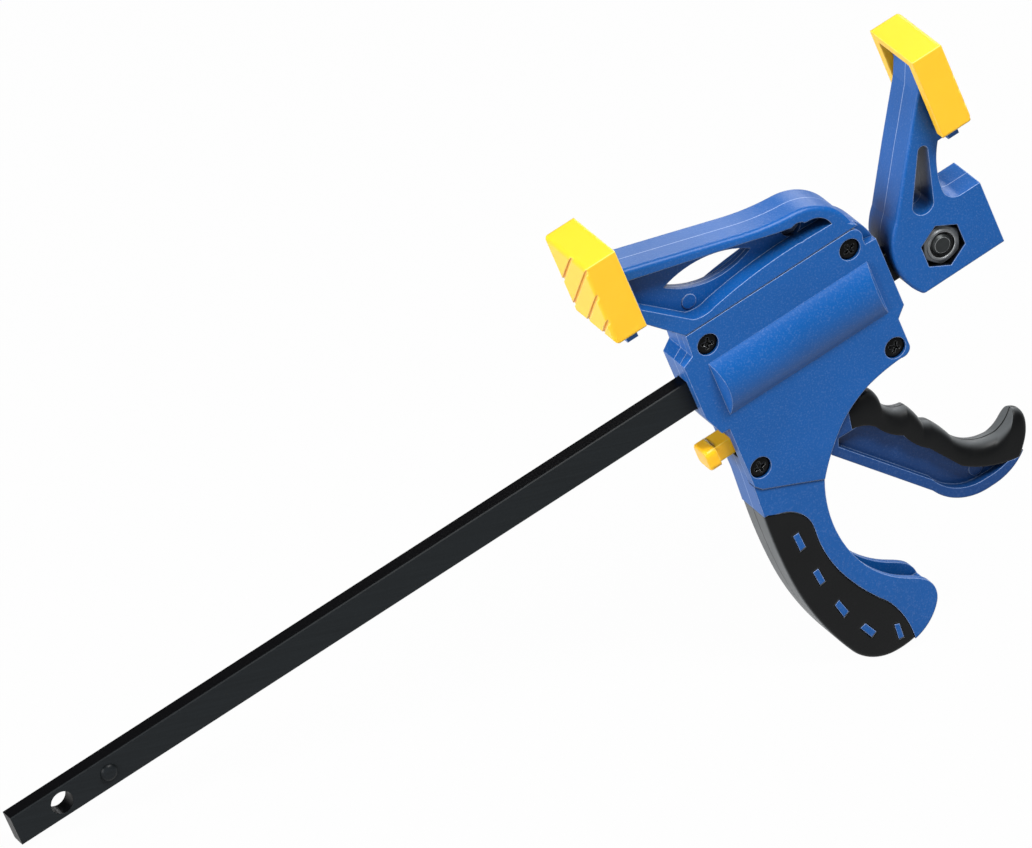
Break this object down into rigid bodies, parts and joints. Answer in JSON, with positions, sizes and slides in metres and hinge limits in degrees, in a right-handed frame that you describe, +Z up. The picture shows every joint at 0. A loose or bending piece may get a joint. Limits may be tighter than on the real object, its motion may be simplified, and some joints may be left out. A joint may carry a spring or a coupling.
{
  "type": "quick release bar clamp",
  "caption": "Trigger-operated bar clamp set up as a spreader: flat black bar, blue moulded jaws with yellow pads, pistol grip, squeeze trigger and yellow release button.",
  "frame": {"origin": "centre of the hang hole in the free end of the bar, at mid-thickness", "axes": "+X toward the jaws along the bench, +Y away from the viewer through the bar's thickness, +Z up; the bar leans 22.8 degrees above X, standing on its end corner and the heel of the grip"},
  "size_m": [0.3895, 0.0296, 0.232],
  "materials": {
    "bar_steel": "satin black paint",
    "dark_steel": "black zinc",
    "nut_steel": "dark oiled steel",
    "insert_nylon": "matt",
    "blue_plastic": "fine spark texture",
    "yellow_pad": "soft satin",
    "yellow_button": "satin",
    "black_rubber": "matt soft skin",
    "plate_steel": "bare hardened plate",
    "spring_steel": "bright wire"
  },
  "bodies": {
    "bar_and_jaw": {"bar": "bar_steel", "stop_stud": "bar_steel", "fixed_jaw": "blue_plastic", "fixed_pad": "yellow_pad", "jaw_bolt": "dark_steel", "jaw_nut": "nut_steel", "nut_insert": "insert_nylon"},
    "moving_jaw": {"jaw_body": "blue_plastic", "side_cover": "blue_plastic", "cover_screws": "dark_steel", "moving_pad": "yellow_pad", "grip_overmould": "black_rubber", "trigger_pin": "dark_steel", "drive_spring": "spring_steel", "brake_spring": "spring_steel"},
    "trigger_lever": {"trigger": "blue_plastic", "trigger_overmould": "black_rubber"},
    "drive_plates": {"drive_plate_left": "plate_steel", "drive_plate_right": "plate_steel"},
    "button": {"release_button": "yellow_button"},
    "brake": {"brake_plate": "plate_steel"}
  },
  "joints": [
    {"name": "body_slide", "type": "slide", "parent": "bar_and_jaw", "child": "moving_jaw", "axis": [-0.9222, 0, -0.3868], "range_m": [0, 0.236]},
    {"name": "trigger_hinge", "type": "hinge", "parent": "moving_jaw", "child": "trigger_lever", "pos_m": [0.29253, 0, 0.09886], "axis": [0, 1, 0], "range_deg": [0, 21], "stiffness_Nm_per_rad": 0.5, "springref_deg": -5.73},
    {"name": "drive_slide", "type": "slide", "parent": "moving_jaw", "child": "drive_plates", "axis": [0.9222, 0, 0.3868], "range_m": [0, 0.0045], "stiffness_N_per_m": 60, "springref_m": -0.004, "deforming": ["drive_spring"]},
    {"name": "button_slide", "type": "slide", "parent": "moving_jaw", "child": "button", "axis": [0.9222, 0, 0.3868], "range_m": [0, 0.0045], "stiffness_N_per_m": 500, "springref_m": -0.003},
    {"name": "brake_hinge", "type": "hinge", "parent": "moving_jaw", "child": "brake", "pos_m": [0.24925, 0, 0.12061], "axis": [0, -1, 0], "range_deg": [0, 7], "stiffness_Nm_per_rad": 0.2, "springref_deg": -5.73, "deforming": ["brake_spring"]}
  ],
  "couplings": [
    {"joint": "drive_slide", "follows": "trigger_hinge", "m_per_rad": 0.0119},
    {"joint": "brake_hinge", "follows": "button_slide", "rad_per_m": 25}
  ]
}
